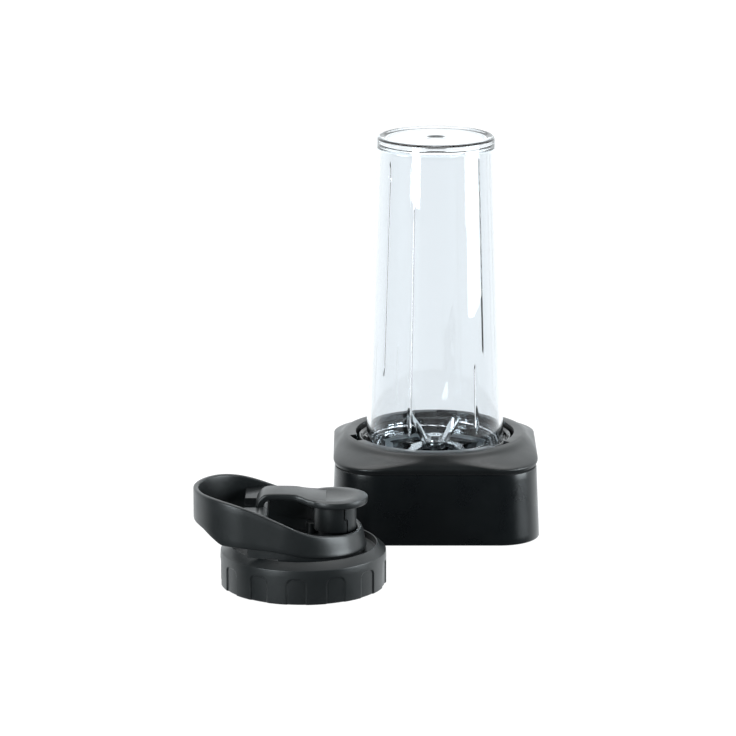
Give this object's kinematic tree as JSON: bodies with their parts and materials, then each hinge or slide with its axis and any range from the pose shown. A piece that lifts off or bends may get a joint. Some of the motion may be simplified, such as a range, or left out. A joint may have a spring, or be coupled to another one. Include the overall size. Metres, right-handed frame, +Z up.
{
  "type": "countertop blender",
  "caption": "Compact countertop blender with an inverted clear blending cup on a low square base, and a travel lid with carrying loop and flip cap.",
  "frame": {"origin": "on the table under the blade axis, at the centre of the base's non-slip ring", "axes": "+Z up along the blade axis, -Y to the front where the travel lid stands, +X to the right"},
  "size_m": [0.2156, 0.2562, 0.2525],
  "materials": {
    "housing_black": "satin moulded",
    "collar_charcoal": "fine matte texture",
    "soft_rubber": "matte",
    "zinc_steel": "bright plated",
    "bearing_steel": "ground",
    "cast_aluminium": "as cast",
    "lamination_steel": "stamped stack",
    "enamelled_copper": "enamelled wire",
    "board_green": "solder mask",
    "component_grey": "moulded",
    "inlet_black": "satin moulded",
    "nickel_pins": "bright",
    "switch_red": "moulded",
    "bell_steel": "turned",
    "magnet_grey": "nickel plated",
    "fan_plastic": "moulded",
    "coupling_nylon": "moulded",
    "holder_gloss": "glossy moulded",
    "blade_stainless": "ground and polished",
    "silicone_grey": "translucent matte",
    "clear_copolyester": "clear polished",
    "lid_charcoal": "fine matte texture"
  },
  "bodies": {
    "base": {"base_housing": "housing_black", "top_collar": "collar_charcoal", "seam_gasket": "soft_rubber", "bottom_plate": "housing_black", "foot_ring": "soft_rubber", "case_screws": "zinc_steel", "motor_bracket": "cast_aluminium", "bracket_screws": "zinc_steel", "vibration_grommets": "soft_rubber", "stator_core": "lamination_steel", "stator_coils": "enamelled_copper", "upper_motor_bearing": "bearing_steel", "lower_motor_bearing": "bearing_steel", "drip_seal": "soft_rubber", "controller_board": "board_green", "board_parts": "component_grey", "board_screws": "zinc_steel", "mains_inlet": "inlet_black", "inlet_pins": "nickel_pins", "interlock_switches": "switch_red", "plunger_spring_1": "zinc_steel", "plunger_spring_2": "zinc_steel", "plunger_spring_3": "zinc_steel"},
    "rotor": {"rotor_bell": "bell_steel", "rotor_magnets": "magnet_grey", "motor_shaft": "zinc_steel", "cooling_fan": "fan_plastic", "drive_coupling": "coupling_nylon", "shaft_clip": "zinc_steel"},
    "interlock_1": {"plunger_1": "switch_red"},
    "interlock_2": {"plunger_2": "switch_red"},
    "interlock_3": {"plunger_3": "switch_red"},
    "holder": {"blade_holder": "holder_gloss", "upper_blade_bearing": "bearing_steel", "lower_blade_bearing": "bearing_steel", "bearing_spacer": "bearing_steel", "blade_seal": "soft_rubber", "bearing_clip": "zinc_steel"},
    "blades": {"blade_shaft": "zinc_steel", "lower_blade": "blade_stainless", "blade_spacer": "blade_stainless", "upper_blade": "blade_stainless", "blade_washer": "blade_stainless", "blade_nut": "blade_stainless", "driven_coupling": "coupling_nylon"},
    "gasket": {"cup_gasket": "silicone_grey"},
    "cup": {"blending_cup": "clear_copolyester"},
    "travel_lid": {"lid_cap": "lid_charcoal", "lid_gasket": "silicone_grey", "carry_loop": "lid_charcoal", "loop_screws": "zinc_steel", "hinge_pin": "zinc_steel"},
    "flip": {"flip_cap": "lid_charcoal", "spout_seal": "silicone_grey"}
  },
  "joints": [
    {"name": "rotor_spin", "type": "hinge", "parent": "base", "child": "rotor", "pos_m": [0, 0, 0.02], "axis": [0, 0, 1], "continuous": true},
    {"name": "press_1", "type": "slide", "parent": "base", "child": "interlock_1", "axis": [0, 0, 1], "range_m": [-0.003, 0], "stiffness_N_per_m": 300, "springref_m": 0.001, "deforming": ["plunger_spring_1"]},
    {"name": "press_2", "type": "slide", "parent": "base", "child": "interlock_2", "axis": [0, 0, 1], "range_m": [-0.003, 0], "stiffness_N_per_m": 300, "springref_m": 0.001, "deforming": ["plunger_spring_2"]},
    {"name": "press_3", "type": "slide", "parent": "base", "child": "interlock_3", "axis": [0, 0, 1], "range_m": [-0.003, 0], "stiffness_N_per_m": 300, "springref_m": 0.001, "deforming": ["plunger_spring_3"]},
    {"name": "jar_lift", "type": "slide", "parent": "base", "child": "holder", "axis": [0, 0, 1], "range_m": [0, 0.08]},
    {"name": "blade_spin", "type": "hinge", "parent": "holder", "child": "blades", "pos_m": [0, 0, 0.05], "axis": [0, 0, 1], "continuous": true},
    {"name": "cup_turn", "type": "hinge", "parent": "holder", "child": "gasket", "pos_m": [0, 0, 0.0465], "axis": [0, 0, 1], "range_deg": [0, 250]},
    {"name": "cup_rise", "type": "slide", "parent": "gasket", "child": "cup", "axis": [0, 0, 1], "range_m": [0, 0.0084]},
    {"name": "lid_lift", "type": "slide", "parent": "base", "child": "travel_lid", "axis": [0, 0, 1], "range_m": [0, 0.12]},
    {"name": "flip_open", "type": "hinge", "parent": "travel_lid", "child": "flip", "pos_m": [-0.1076, -0.1382, 0.0465], "axis": [0, -1, 0], "range_deg": [0, 105]}
  ],
  "couplings": [
    {"joint": "blade_spin", "follows": "rotor_spin", "ratio": 1},
    {"joint": "cup_rise", "follows": "cup_turn", "m_per_rad": 0.0019099}
  ]
}
